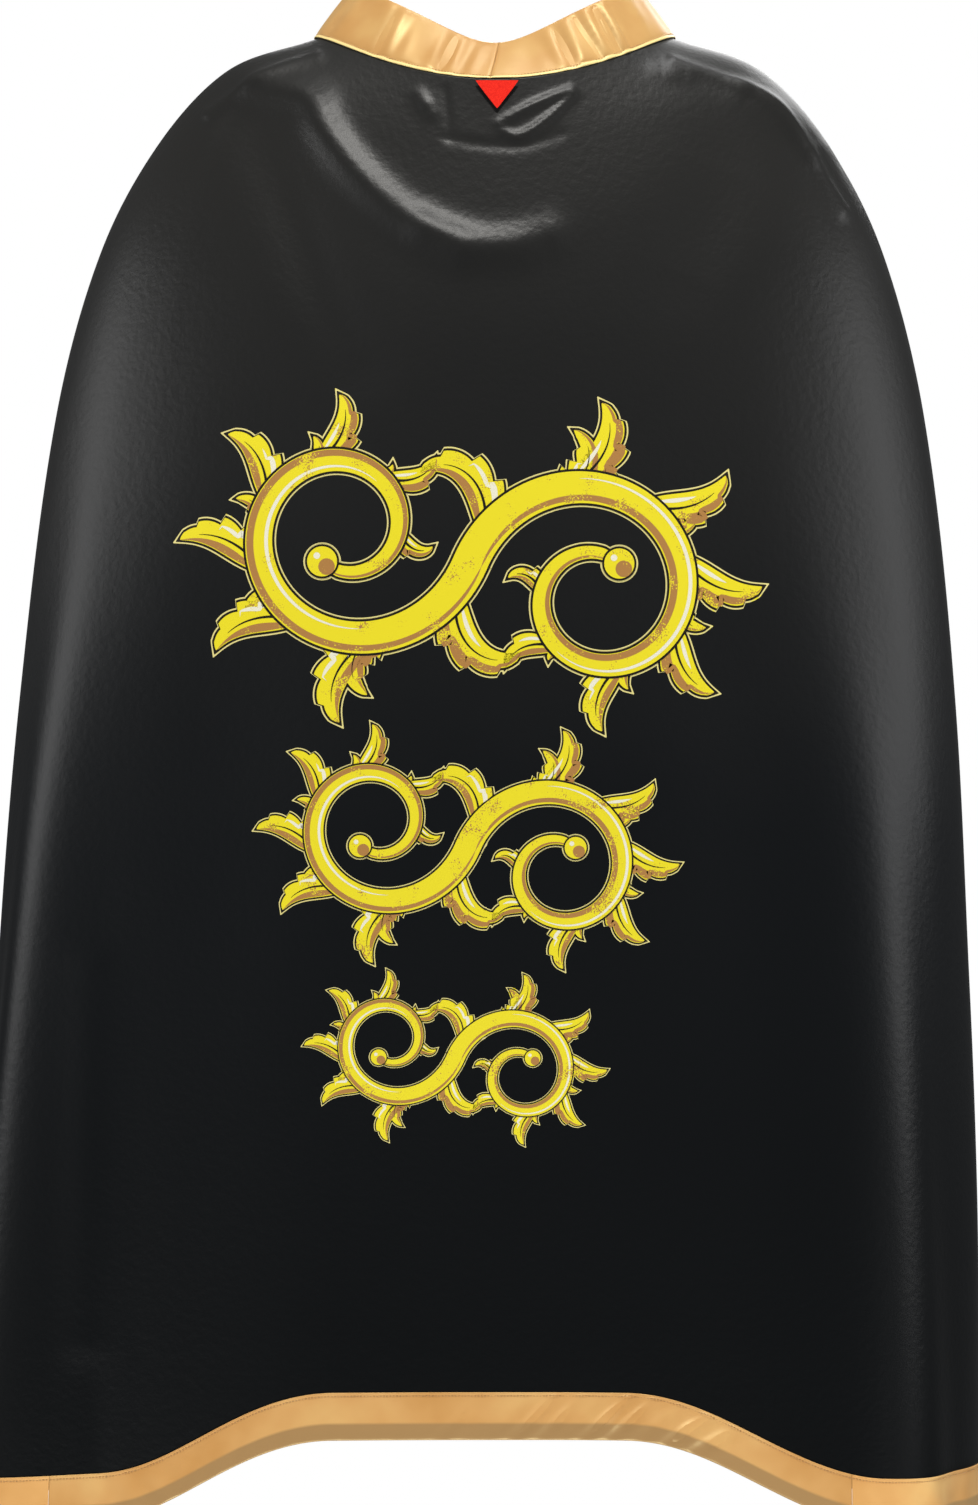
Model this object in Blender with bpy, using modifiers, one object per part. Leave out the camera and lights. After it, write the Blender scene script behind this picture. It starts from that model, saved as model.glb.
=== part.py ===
"""Superhero cape: a satin body on a gold stand collar, with a gold hem band and gold prints.

Metres, +Z up. The origin is the middle of the collar's base. The wearer faces +Y, so the
cape's printed back faces -Y and +X is the wearer's right.
"""

import math

import bpy
from mathutils import Vector

# The drape is worked out from three profiles that run from the collar's base to the hem: at
# the side, at the centre back and at the front. Each row is (distance from the middle, height).
LEVELS = (0.0, 0.06, 0.12, 0.20, 0.31, 0.49, 0.67, 0.83, 1.0)
SIDE = (
    (0.138, 0.047), (0.204, 0.024), (0.256, -0.031), (0.299, -0.115), (0.331, -0.243),
    (0.356, -0.460), (0.3685, -0.675), (0.3765, -0.868), (0.382, -1.070),
)
BACK = (
    (0.110, 0.000), (0.122, -0.058), (0.134, -0.120), (0.144, -0.200), (0.150, -0.315),
    (0.148, -0.500), (0.142, -0.680), (0.139, -0.835), (0.140, -1.004),
)
FRONT = (
    (0.108, -0.010), (0.120, -0.058), (0.132, -0.116), (0.140, -0.200), (0.142, -0.320),
    (0.138, -0.510), (0.132, -0.700), (0.128, -0.870), (0.126, -1.060),
)
EDGE_ANGLES = (176.5, 157.0, 141.0, 128.0, 117.0, 107.0, 101.0, 97.0, 94.0)
LEAN = -0.012  # how far the hem's middle hangs to the left of the collar's
SQUARENESS = 0.34  # how much the hem's plan departs from an ellipse
HEM_DIP = (0.15, 0.60, 0.85)  # sines of the angles where the hem drops, and how much of it does

# Soft folds: angle round from the centre back, half width (degrees), depth at the hem, and
# the level where the fold starts.
FOLDS = ((-54.0, 15.0, 0.050, 0.25), (41.0, 15.0, 0.042, 0.25), (-2.0, 17.0, -0.012, 0.45))

CLOTH = 0.0008  # thickness of one layer of satin
GAP = 0.0003
PANEL_COLUMNS = 48
ROWS_ABOVE_APEX = 15
ROWS_BELOW_APEX = 12

COLLAR_HEIGHT = 0.052  # along its slope
# How far the collar leans inwards (degrees): all round, then what is added near one angle, as
# (angle from the centre back, half width, added lean).
COLLAR_LEAN = 37.0
COLLAR_LEAN_CHANGES = ((0.0, 22.0, 10.0), (45.0, 22.0, -7.0))
COLLAR_ROWS = (0.0035, 0.007, 0.014, 0.022, 0.032, 0.042)  # rises where its mesh has a row
COLLAR_END = 176.5  # angle of the collar's front ends
SEAM_ALLOWANCE = 0.007
INTERLINING = 0.0007  # room for the interlining, which is half as thick
COLLAR_STATIONS = PANEL_COLUMNS // 2 + 1

HEM_HEIGHT = 0.035
HEM_TURN_UP = 0.012
HEM_OVERLAP = 0.010
HEM_OFFSET = 0.0012  # the band's inner face, from the middle of the body's cloth
HEM_JOINS = (-43.0, 33.0)

APEX_LEVEL = 0.58  # where the fold line of a front corner leaves the front edge
FOLD_FOOT_ANGLE = 72.0
FOLD_GAP = 0.0025
AXIS_CLEARANCE = 0.014

THREAD = 0.0005
STITCH_INSET = 0.0025

TAB_LENGTH = 0.060
TAB_HEIGHT = 0.032
TAB_BASE = 0.010
TAB_THICKNESS = 0.0012
PATCH_THICKNESS = 0.0012
PATCH_HEIGHT = 0.022
PATCH_LENGTH = 0.032

TAG_WIDTH = 0.031
TAG_LENGTH = 0.022
TAG_THICKNESS = 0.0008

# Printed scrolls: name, middle (x, z) and width.
PRINTS = (
    ("print_large", (-0.018, -0.359), 0.438),
    ("print_middle", (-0.020, -0.567), 0.318),
    ("print_small", (-0.029, -0.722), 0.228),
)
PRINT_THICKNESS = 0.0003
PRINT_OFFSET = 0.0016
PRINT_STATIONS = 61

SATIN_BLACK = ("satin_black", (0.020, 0.021, 0.023), 0.38)
SATIN_GOLD = ("satin_gold", (0.780, 0.440, 0.170), 0.36)
INTERLINING_WHITE = ("interlining_white", (0.800, 0.790, 0.760), 0.90)
THREAD_GOLD = ("thread_gold", (0.720, 0.420, 0.170), 0.55)
HOOK_TAPE = ("hook_tape", (0.600, 0.360, 0.160), 0.75)
LOOP_TAPE = ("loop_tape", (0.660, 0.400, 0.180), 0.95)
TAG_RED = ("tag_red", (0.900, 0.050, 0.020), 0.55)
PRINT_GOLD = ("print_gold", (0.900, 0.720, 0.030), 0.45)

# ---------------------------------------------------------------- drape


def through(rows, level):
    """A smooth curve through rows, one for each of LEVELS."""
    i = 0
    while i < len(LEVELS) - 2 and level > LEVELS[i + 1]:
        i += 1

    def slope(k):
        a, b = max(k - 1, 0), min(k + 1, len(LEVELS) - 1)
        return (rows[b] - rows[a]) / (LEVELS[b] - LEVELS[a])

    step = LEVELS[i + 1] - LEVELS[i]
    t = (level - LEVELS[i]) / step
    return (
        (2 * t**3 - 3 * t**2 + 1) * rows[i]
        + (t**3 - 2 * t**2 + t) * step * slope(i)
        + (3 * t**2 - 2 * t**3) * rows[i + 1]
        + (t**3 - t**2) * step * slope(i + 1)
    )


def eased(t):
    t = min(max(t, 0.0), 1.0)
    return t * t * (3 - 2 * t)


def fold_depth(angle, level):
    depth = 0.0
    for middle, half_width, at_hem, start in FOLDS:
        growth = eased((level - start) / (1 - start))
        depth += at_hem * growth * math.exp(-(((angle - middle) / half_width) ** 2))
    return depth


def side_share(sine, level):
    """How much of the side's height the cloth has here; the hem drops sharply at the folds."""
    start, end, most = HEM_DIP
    dropped = most * eased((abs(sine) - start) / (end - start)) + (1 - most) * sine**2
    return sine**2 + (dropped - sine**2) * eased((level - 0.5) / 0.5)


def drape(angle, level):
    """The middle of the body's cloth: angle in degrees round from the centre back."""
    turn = math.radians(angle)
    sine, cosine = math.sin(turn), math.cos(turn)
    near = BACK if cosine > 0 else FRONT
    reach = through([row[0] for row in SIDE], level)
    depth = through([row[0] for row in near], level)
    side_height = through([row[1] for row in SIDE], level)
    near_height = through([row[1] for row in near], level)
    power = 1 - SQUARENESS * eased(level / 0.6)
    fold = fold_depth(angle, level)
    x = math.copysign(abs(sine) ** power, sine) * reach + LEAN * level + fold * sine
    y = -math.copysign(abs(cosine) ** power, cosine) * depth - fold * cosine
    return Vector((x, y, near_height + (side_height - near_height) * side_share(sine, level)))


def along_level(angle, level):
    return (drape(angle + 0.05, level) - drape(angle - 0.05, level)) / math.radians(0.1)


def down(angle, level):
    step = 0.001
    return (drape(angle, level + step) - drape(angle, level - step)) / (2 * step)


def outward(angle, level):
    return down(angle, level).cross(along_level(angle, level)).normalized()


def off_drape(angle, level, offset):
    return drape(angle, level) + offset * outward(angle, level)


def above_hem(angle, distance):
    """The level that is this distance up the cloth from the hem."""
    return 1 - distance / down(angle, 1.0).length


def edge_angle(level):
    return through(EDGE_ANGLES, level)


def fold_line(level):
    """Angle of the line along which a front corner folds back."""
    return edge_angle(APEX_LEVEL) + (FOLD_FOOT_ANGLE - edge_angle(APEX_LEVEL)) * (
        (level - APEX_LEVEL) / (1 - APEX_LEVEL)
    )


def panel_limit(level):
    return fold_line(level) if level > APEX_LEVEL else edge_angle(level)


def collar_point(angle, rise, offset):
    """A point on the collar, rise up its slope and offset outwards from its middle."""
    tangent = along_level(angle, 0.0)
    out = Vector((tangent.y, -tangent.x, 0)).normalized()
    lean = COLLAR_LEAN
    for middle, half_width, added in COLLAR_LEAN_CHANGES:
        lean += added * math.exp(-(((abs(angle) - middle) / half_width) ** 2))
    inwards, up = math.sin(math.radians(lean)), math.cos(math.radians(lean))
    slope = Vector((0, 0, up)) - out * inwards
    face = Vector((0, 0, inwards)) + out * up
    return drape(angle, 0.0) + rise * slope + offset * face


# ---------------------------------------------------------------- building


def start_scene():
    for old in list(bpy.data.objects):
        bpy.data.objects.remove(old, do_unlink=True)
    collection = bpy.data.collections.new("superhero_cape")
    bpy.context.scene.collection.children.link(collection)
    return collection


CAPE = start_scene()
MATERIALS = {}


def material(look):
    name, colour, roughness = look
    if name not in MATERIALS:
        made = bpy.data.materials.new(name)
        made.use_nodes = True
        shader = made.node_tree.nodes["Principled BSDF"]
        shader.inputs["Base Color"].default_value = (*colour, 1.0)
        shader.inputs["Roughness"].default_value = roughness
        shader.inputs["Metallic"].default_value = 0.0
        made.diffuse_color = (*colour, 1.0)
        MATERIALS[name] = made
    return MATERIALS[name]


def add_object(name, points, faces, look, axis=None):
    mesh = bpy.data.meshes.new(name)
    mesh.from_pydata([tuple(p) for p in points], [], faces)
    mesh.update()
    mesh.materials.append(material(look))
    made = bpy.data.objects.new(name, mesh)
    CAPE.objects.link(made)
    if axis:
        made.parent = axis
        made.matrix_parent_inverse = axis.matrix_world.inverted()
    return made


def sheet(name, rows, look, thickness, axis=None):
    """A sheet through rows of points, the first row uppermost and each from left to right."""
    width = len(rows[0])
    points = [p for row in rows for p in row]
    faces = []
    for r in range(len(rows) - 1):
        for c in range(width - 1):
            a = r * width + c
            faces.append((a, a + width, a + width + 1, a + 1))
    made = add_object(name, points, faces, look, axis)
    solid = made.modifiers.new("Cloth", "SOLIDIFY")
    solid.thickness = thickness
    solid.offset = 0.0
    solid.use_even_offset = True
    return made


def strip(name, sections, look, axis=None):
    """A closed strip lofted through sections, each the same number of points."""
    count = len(sections[0])
    points = [p for section in sections for p in section]
    faces = [tuple(range(count)), tuple(reversed(range(len(points) - count, len(points))))]
    for s in range(len(sections) - 1):
        for c in range(count):
            a = s * count + c
            b = s * count + (c + 1) % count
            faces.append((a, a + count, b + count, b))
    return add_object(name, points, faces, look, axis)


def spread(first, last, count):
    return [first + (last - first) * i / (count - 1) for i in range(count)]


def rectangle(near, far, low, high):
    """Corners (offset, rise) of a strip's section, in the order that faces out."""
    return ((far, low), (far, high), (near, high), (near, low))


def axis_empty(name, place, direction):
    made = bpy.data.objects.new(name, None)
    made.empty_display_size = 0.05
    made.location = place
    made.rotation_mode = "QUATERNION"
    made.rotation_quaternion = Vector(direction).to_track_quat("Z", "Y")
    CAPE.objects.link(made)
    bpy.context.view_layer.update()
    return made


# ---------------------------------------------------------------- body


def levels_below_apex():
    return spread(APEX_LEVEL, 1.0, ROWS_BELOW_APEX + 1)[1:]


def body_panel():
    rows = []
    for rise in (SEAM_ALLOWANCE, SEAM_ALLOWANCE / 2):
        angles = spread(-COLLAR_END, COLLAR_END, PANEL_COLUMNS + 1)
        rows.append([collar_point(angle, rise, 0) for angle in angles])
    upper = [APEX_LEVEL * (i / ROWS_ABOVE_APEX) ** 1.25 for i in range(ROWS_ABOVE_APEX + 1)]
    for level in upper + levels_below_apex():
        limit = panel_limit(level)
        row = []
        for angle in spread(-limit, limit, PANEL_COLUMNS + 1):
            lowest = above_hem(angle, HEM_HEIGHT - HEM_OVERLAP)
            row.append(drape(angle, level * lowest))
        rows.append(row)
    return sheet("body_panel", rows, SATIN_BLACK, CLOTH)


def corner_angles(level, side, count):
    """Angles from a front corner's fold line to its front edge."""
    line, edge = fold_line(level), edge_angle(level)
    gap = math.degrees(FOLD_GAP / along_level(line * side, level).length)
    return [side * angle for angle in spread(line + gap, edge, count)]


def corner_flap(name, side, axis):
    rows = []
    for level in levels_below_apex():
        row = []
        for angle in corner_angles(level, side, 7):
            lowest = above_hem(angle, HEM_HEIGHT - HEM_OVERLAP)
            row.append(drape(angle, level * lowest))
        rows.append(row if side > 0 else row[::-1])
    return sheet(name, rows, SATIN_BLACK, CLOTH, axis)


def fold_axis(name, side):
    """The axis that a front corner turns about, just outside the cloth."""
    foot = off_drape(side * fold_line(1.0), 1.0, AXIS_CLEARANCE)
    top = off_drape(side * fold_line(APEX_LEVEL), APEX_LEVEL, AXIS_CLEARANCE)
    return axis_empty(name, foot, top - foot)


# ---------------------------------------------------------------- hem


def hem_section(angle):
    face, back = HEM_OFFSET + CLOTH, HEM_OFFSET
    corners = (
        (face, 0.0), (face, HEM_HEIGHT), (back, HEM_HEIGHT), (back, CLOTH),
        (-GAP, CLOTH), (-GAP, HEM_TURN_UP), (-GAP - CLOTH, HEM_TURN_UP), (-GAP - CLOTH, 0.0),
    )
    return [off_drape(angle, above_hem(angle, rise), offset) for offset, rise in corners]


def hem_band(name, angles, axis=None):
    return strip(name, [hem_section(angle) for angle in angles], SATIN_GOLD, axis)


def hem_stitching(name, angles, axis=None):
    near = HEM_OFFSET + CLOTH + GAP
    top = HEM_HEIGHT - STITCH_INSET
    sections = []
    for angle in angles:
        corners = rectangle(near, near + THREAD, top - THREAD, top)
        sections.append([off_drape(angle, above_hem(angle, rise), off) for off, rise in corners])
    return strip(name, sections, THREAD_GOLD, axis)


def hem_angles(first, last):
    """The body panel's own columns between two angles, with both ends."""
    limit = panel_limit(1.0)
    columns = spread(-limit, limit, PANEL_COLUMNS + 1)
    return [first] + [a for a in columns if first + 0.5 < a < last - 0.5] + [last]


# ---------------------------------------------------------------- collar


def collar_strip(name, first, last, corners, look, axis=None, stations=COLLAR_STATIONS):
    sections = []
    for angle in spread(first, last, stations):
        sections.append([collar_point(angle, rise, offset) for offset, rise in corners])
    return strip(name, sections, look, axis)


def leaf(offset, low, high):
    """One face of a layer of the collar, as (offset, rise) from its low to its high edge."""
    between = [(offset, rise) for rise in COLLAR_ROWS if low < rise < high]
    return [(offset, low)] + between + [(offset, high)]


def collar_bands():
    face = INTERLINING / 2 + GAP + CLOTH
    inner = face - CLOTH
    low = 3 * CLOTH
    outside = leaf(face, low, COLLAR_HEIGHT) + leaf(-face, low, COLLAR_HEIGHT)[::-1]
    inside = leaf(-inner, low, COLLAR_HEIGHT - CLOTH) + leaf(inner, low, COLLAR_HEIGHT - CLOTH)[::-1]
    corners = outside + inside
    seam = 0.08
    collar_strip("collar_band_left", -COLLAR_END, -seam, corners, SATIN_GOLD)
    collar_strip("collar_band_right", seam, COLLAR_END, corners, SATIN_GOLD)


def collar_interlining():
    half = INTERLINING / 4
    low = COLLAR_ROWS[2]
    high = COLLAR_HEIGHT - CLOTH - GAP
    corners = leaf(half, low, high) + leaf(-half, low, high)[::-1]
    last = COLLAR_END - 0.5
    collar_strip("collar_interlining", -last, last, corners, INTERLINING_WHITE, None, PANEL_COLUMNS + 1)


def collar_stitching():
    near = INTERLINING / 2 + 2 * GAP + CLOTH
    low = 0.004
    corners = rectangle(near, near + THREAD, low, low + THREAD)
    last = COLLAR_END - 14.0
    collar_strip("collar_stitching", -last, last, corners, THREAD_GOLD, None, PANEL_COLUMNS + 1)


def closure():
    """The hook-and-loop closure at the throat: the tab is sewn to the collar's right end."""
    outer = INTERLINING / 2 + GAP + CLOTH
    loop_near = outer + GAP
    hook_near = loop_near + PATCH_THICKNESS + GAP
    tab_near = hook_near + PATCH_THICKNESS + GAP
    per_metre = 1 / (math.radians(1) * along_level(180.0, 0.0).length)
    root = COLLAR_END - 3.0
    tip = root + TAB_LENGTH * per_metre
    reach = PATCH_LENGTH * per_metre
    patch_low = TAB_BASE + (TAB_HEIGHT - PATCH_HEIGHT) / 2
    patch_high = patch_low + PATCH_HEIGHT

    hinge = collar_point(root, TAB_BASE, outer + 2 * GAP + TAB_THICKNESS)
    top = collar_point(root, TAB_BASE + TAB_HEIGHT, outer + 2 * GAP + TAB_THICKNESS)
    axis = axis_empty("closure_axis", hinge, top - hinge)
    sections = []
    for angle in spread(root + 0.3, tip, 14):
        rise_out = eased((angle - root) / 7.0)
        near = outer + GAP + (tab_near - outer - GAP) * rise_out
        corners = rectangle(near, near + TAB_THICKNESS, TAB_BASE, TAB_BASE + TAB_HEIGHT)
        sections.append([collar_point(angle, rise, offset) for offset, rise in corners])
    strip("closure_tab", sections, SATIN_GOLD, axis)

    last = tip - 1.2
    hook = rectangle(hook_near, hook_near + PATCH_THICKNESS, patch_low, patch_high)
    collar_strip("hook_patch", last - reach, last, hook, HOOK_TAPE, axis, 9)
    loop = rectangle(loop_near, loop_near + PATCH_THICKNESS, patch_low, patch_high)
    collar_strip("loop_patch", last - reach, last, loop, LOOP_TAPE, None, 9)
    return axis


# ---------------------------------------------------------------- tag and prints


def neck_tag():
    """A plain triangular tag sewn into the seam under the collar."""
    place = off_drape(0.6, 0.001, 2 * CLOTH + GAP)
    axis = axis_empty("tag_axis", place, (1, 0, 0))
    hang = down(0.6, 0.02).normalized()
    face = outward(0.6, 0.02)
    outline = (Vector((-TAG_WIDTH / 2, 0, 0)), TAG_LENGTH * hang, Vector((TAG_WIDTH / 2, 0, 0)))
    start = place + face * 0.0006
    back = [start + corner + hang * 0.0005 for corner in outline]
    front = [corner + TAG_THICKNESS * face for corner in back]
    faces = [(0, 2, 1), (3, 4, 5), (0, 1, 4, 3), (1, 2, 5, 4), (2, 0, 3, 5)]
    add_object("neck_tag", back + front, faces, TAG_RED, axis)
    return axis


def scroll(t):
    """The stem of a printed scroll from -1 to 1: an S that winds into a spiral at each end."""
    start, turns, radius, shrink = math.radians(170), math.radians(450), 0.56, 0.135
    turn = turns * abs(t)
    here = Vector((math.cos(start - turn), math.sin(start - turn))) * math.exp(-shrink * turn)
    point = radius * (here - Vector((math.cos(start), math.sin(start))))
    return point if t > 0 else -point


def on_drape(x, z):
    """The angle and level where the back of the drape has this x and z."""
    angle, level = 150 * x, -z
    for _ in range(12):
        here = drape(angle, level)
        across = along_level(angle, level) * math.radians(1)
        fall = down(angle, level)
        wanted = (x - here.x, z - here.z)
        determinant = across.x * fall.z - fall.x * across.z
        angle += (wanted[0] * fall.z - fall.x * wanted[1]) / determinant
        level += (across.x * wanted[1] - wanted[0] * across.z) / determinant
    return angle, level


def print_film(name, middle, width):
    sections = []
    for t in spread(-1.0, 1.0, PRINT_STATIONS):
        here = scroll(t)
        along = (scroll(min(t + 0.01, 1)) - scroll(max(t - 0.01, -1))).normalized()
        half = 0.020 + 0.045 * (1 - abs(t))
        section = []
        for side, offset in ((-1, 1), (1, 1), (1, 0), (-1, 0)):
            x = middle[0] + (here.x - side * half * along.y) * width / 2
            z = middle[1] + (here.y + side * half * along.x) * width / 2
            angle, level = on_drape(x, z)
            section.append(off_drape(angle, level, PRINT_OFFSET + offset * PRINT_THICKNESS))
        sections.append(section)
    return strip(name, sections, PRINT_GOLD)


# ---------------------------------------------------------------- the cape

body_panel()
collar_bands()
collar_interlining()
collar_stitching()
closure()
neck_tag()

foot_angle = fold_line(1.0)
left_join, right_join = HEM_JOINS
hem_band("hem_band_left", hem_angles(-foot_angle, left_join - 0.05))
hem_band("hem_band_back", hem_angles(left_join + 0.05, right_join - 0.05))
hem_band("hem_band_right", hem_angles(right_join + 0.05, foot_angle))
hem_stitching("hem_stitching_back", hem_angles(-foot_angle, foot_angle))

for side, word in ((-1, "left"), (1, "right")):
    corner_axis = fold_axis(word + "_corner_axis", side)
    corner_flap(word + "_corner_flap", side, corner_axis)
    ends = sorted(corner_angles(1.0, side, 7))
    hem_band("hem_band_" + word + "_corner", ends, corner_axis)
    hem_stitching("hem_stitching_" + word, ends, corner_axis)

for film in PRINTS:
    print_film(*film)
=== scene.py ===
"""Looks of the superhero cape, on the frame that the CAD part gives. Metres, +Z up."""

import math

import bpy
import numpy as np
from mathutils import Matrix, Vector


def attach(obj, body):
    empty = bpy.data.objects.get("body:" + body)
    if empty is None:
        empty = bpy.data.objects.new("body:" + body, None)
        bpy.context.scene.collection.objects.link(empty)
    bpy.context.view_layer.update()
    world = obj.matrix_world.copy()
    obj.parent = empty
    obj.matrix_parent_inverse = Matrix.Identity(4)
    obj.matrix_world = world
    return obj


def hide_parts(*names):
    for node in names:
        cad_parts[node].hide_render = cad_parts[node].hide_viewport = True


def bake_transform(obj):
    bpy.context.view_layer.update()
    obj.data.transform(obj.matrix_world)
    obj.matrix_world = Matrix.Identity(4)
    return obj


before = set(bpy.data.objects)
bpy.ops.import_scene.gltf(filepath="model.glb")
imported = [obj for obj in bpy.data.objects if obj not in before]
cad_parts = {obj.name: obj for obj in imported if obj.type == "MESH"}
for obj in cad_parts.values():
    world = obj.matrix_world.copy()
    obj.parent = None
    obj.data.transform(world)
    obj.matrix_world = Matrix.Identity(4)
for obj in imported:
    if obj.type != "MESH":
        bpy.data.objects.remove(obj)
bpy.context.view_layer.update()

# ---------------------------------------------------------------- drape, as in the CAD part

LEVELS = np.array((0.0, 0.06, 0.12, 0.20, 0.31, 0.49, 0.67, 0.83, 1.0))
SIDE = np.array((
    (0.138, 0.047), (0.204, 0.024), (0.256, -0.031), (0.299, -0.115), (0.331, -0.243),
    (0.356, -0.460), (0.3685, -0.675), (0.3765, -0.868), (0.382, -1.070),
))
BACK = np.array((
    (0.110, 0.000), (0.122, -0.058), (0.134, -0.120), (0.144, -0.200), (0.150, -0.315),
    (0.148, -0.500), (0.142, -0.680), (0.139, -0.835), (0.140, -1.004),
))
FRONT = np.array((
    (0.108, -0.010), (0.120, -0.058), (0.132, -0.116), (0.140, -0.200), (0.142, -0.320),
    (0.138, -0.510), (0.132, -0.700), (0.128, -0.870), (0.126, -1.060),
))
EDGE_ANGLES = np.array((176.5, 157.0, 141.0, 128.0, 117.0, 107.0, 101.0, 97.0, 94.0))
LEAN = -0.012
SQUARENESS = 0.34
HEM_DIP = (0.15, 0.60, 0.85)
FOLDS = ((-54.0, 15.0, 0.050, 0.25), (41.0, 15.0, 0.042, 0.25), (-2.0, 17.0, -0.012, 0.45))

COLLAR_HEIGHT = 0.052
COLLAR_LEAN = 37.0
COLLAR_LEAN_CHANGES = ((0.0, 20.0, 12.5), (41.0, 19.0, -9.5))
COLLAR_END = 176.5
HEM_HEIGHT = 0.035
HEM_OVERLAP = 0.010
HEM_JOINS = (-43.0, 33.0)

# Small steps of angle and level, to find slopes with.
ANGLE_STEP, LEVEL_STEP = 0.05, 0.0005


def vectors(x, y, z):
    return np.stack(np.broadcast_arrays(x, y, z), -1)


def unit(v):
    return v / np.linalg.norm(v, axis=-1, keepdims=True)


def eased(t):
    t = np.clip(t, 0.0, 1.0)
    return t * t * (3 - 2 * t)


def through(rows, level):
    """A smooth curve through rows, one for each of LEVELS."""
    level = np.asarray(level, float)
    last = len(LEVELS) - 1
    i = np.clip(np.searchsorted(LEVELS, level) - 1, 0, last - 1)
    before = np.maximum(np.arange(last + 1) - 1, 0)
    after = np.minimum(np.arange(last + 1) + 1, last)
    slopes = (rows[after] - rows[before]) / (LEVELS[after] - LEVELS[before])
    step = LEVELS[i + 1] - LEVELS[i]
    t = (level - LEVELS[i]) / step
    return (
        (2 * t**3 - 3 * t**2 + 1) * rows[i]
        + (t**3 - 2 * t**2 + t) * step * slopes[i]
        + (3 * t**2 - 2 * t**3) * rows[i + 1]
        + (t**3 - t**2) * step * slopes[i + 1]
    )


def drape(angle, level):
    """The middle of the body's cloth: angle in degrees round from the centre back."""
    angle, level = np.broadcast_arrays(np.asarray(angle, float), np.asarray(level, float))
    turn = np.radians(angle)
    sine, cosine = np.sin(turn), np.cos(turn)
    behind = cosine > 0
    reach = through(SIDE[:, 0], level)
    depth = np.where(behind, through(BACK[:, 0], level), through(FRONT[:, 0], level))
    near_height = np.where(behind, through(BACK[:, 1], level), through(FRONT[:, 1], level))
    power = 1 - SQUARENESS * eased(level / 0.6)
    fold = 0.0
    for middle, half_width, at_hem, start in FOLDS:
        growth = eased((level - start) / (1 - start))
        fold = fold + at_hem * growth * np.exp(-(((angle - middle) / half_width) ** 2))
    x = np.sign(sine) * np.abs(sine) ** power * reach + LEAN * level + fold * sine
    y = -np.sign(cosine) * np.abs(cosine) ** power * depth - fold * cosine
    start, end, most = HEM_DIP
    dropped = most * eased((np.abs(sine) - start) / (end - start)) + (1 - most) * sine**2
    share = sine**2 + (dropped - sine**2) * eased((level - 0.5) / 0.5)
    z = near_height + (through(SIDE[:, 1], level) - near_height) * share
    return vectors(x, y, z)


def normal_of(surface, angle, level):
    across = surface(angle + ANGLE_STEP, level) - surface(angle - ANGLE_STEP, level)
    fall = surface(angle, level + LEVEL_STEP) - surface(angle, level - LEVEL_STEP)
    return unit(np.cross(fall, across))


# Creases on the back: points (x, z) along the crease, half width and height, in metres.
CREASES = (
    # the long pull from the left shoulder to the middle of the back, and the slack beside it
    (((-0.180, 0.005), (-0.141, -0.008), (-0.128, -0.034), (-0.105, -0.067), (-0.069, -0.102),
      (-0.026, -0.129)), 0.0140, 0.0054),
    (((-0.050, -0.114), (-0.014, -0.126), (0.014, -0.126), (0.040, -0.118)), 0.0150, 0.0046),
    (((-0.182, -0.030), (-0.152, -0.090), (-0.130, -0.150), (-0.100, -0.215)), 0.0240, -0.0036),
    # round the label sewn inside, under the collar
    (((0.0030, -0.0330), (0.0221, -0.0224), (0.0390, -0.0142), (0.0567, -0.0061)),
     0.0038, 0.0019),
    (((0.0060, -0.0395), (0.0184, -0.0430), (0.0368, -0.0312), (0.0582, -0.0106)),
     0.0038, 0.0019),
    (((-0.036, -0.044), (-0.010, -0.049), (0.020, -0.050), (0.048, -0.041)), 0.0048, -0.0009),
    (((-0.0365, -0.006), (-0.0335, -0.044)), 0.0036, -0.0008),
    (((-0.056, -0.011), (-0.048, -0.024)), 0.0060, 0.0018),
    # the shoulders
    (((0.122, 0.012), (0.143, 0.009)), 0.0080, 0.0017),
    (((0.190, 0.000), (0.214, -0.016), (0.240, -0.042)), 0.0150, 0.0056),
    (((0.172, -0.060), (0.138, -0.150)), 0.0340, -0.0030),
    (((-0.216, -0.016), (-0.168, 0.013), (-0.134, 0.025)), 0.0060, 0.0034),
    (((0.134, 0.021), (0.196, -0.004), (0.226, -0.036), (0.262, -0.090)), 0.0060, 0.0036),
    # low down on the left
    (((-0.298, -0.660), (-0.302, -0.930)), 0.0180, 0.0030),
)


def rounded(points, pieces=4):
    """A smooth curve through points, as more points."""
    points = np.array(points)
    padded = np.vstack([2 * points[0] - points[1], points, 2 * points[-1] - points[-2]])
    t = np.linspace(0, 1, pieces, endpoint=False)[:, None]
    spans = [
        0.5 * (
            2 * b + (c - a) * t + (2 * a - 5 * b + 4 * c - d) * t**2
            + (3 * (b - c) + d - a) * t**3
        )
        for a, b, c, d in zip(padded, padded[1:], padded[2:], padded[3:])
    ]
    return np.vstack([*spans, points[-1:]])


# A crease counts in a box that is this many half widths wider than it.
CREASE_REACH = 3.2


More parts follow.
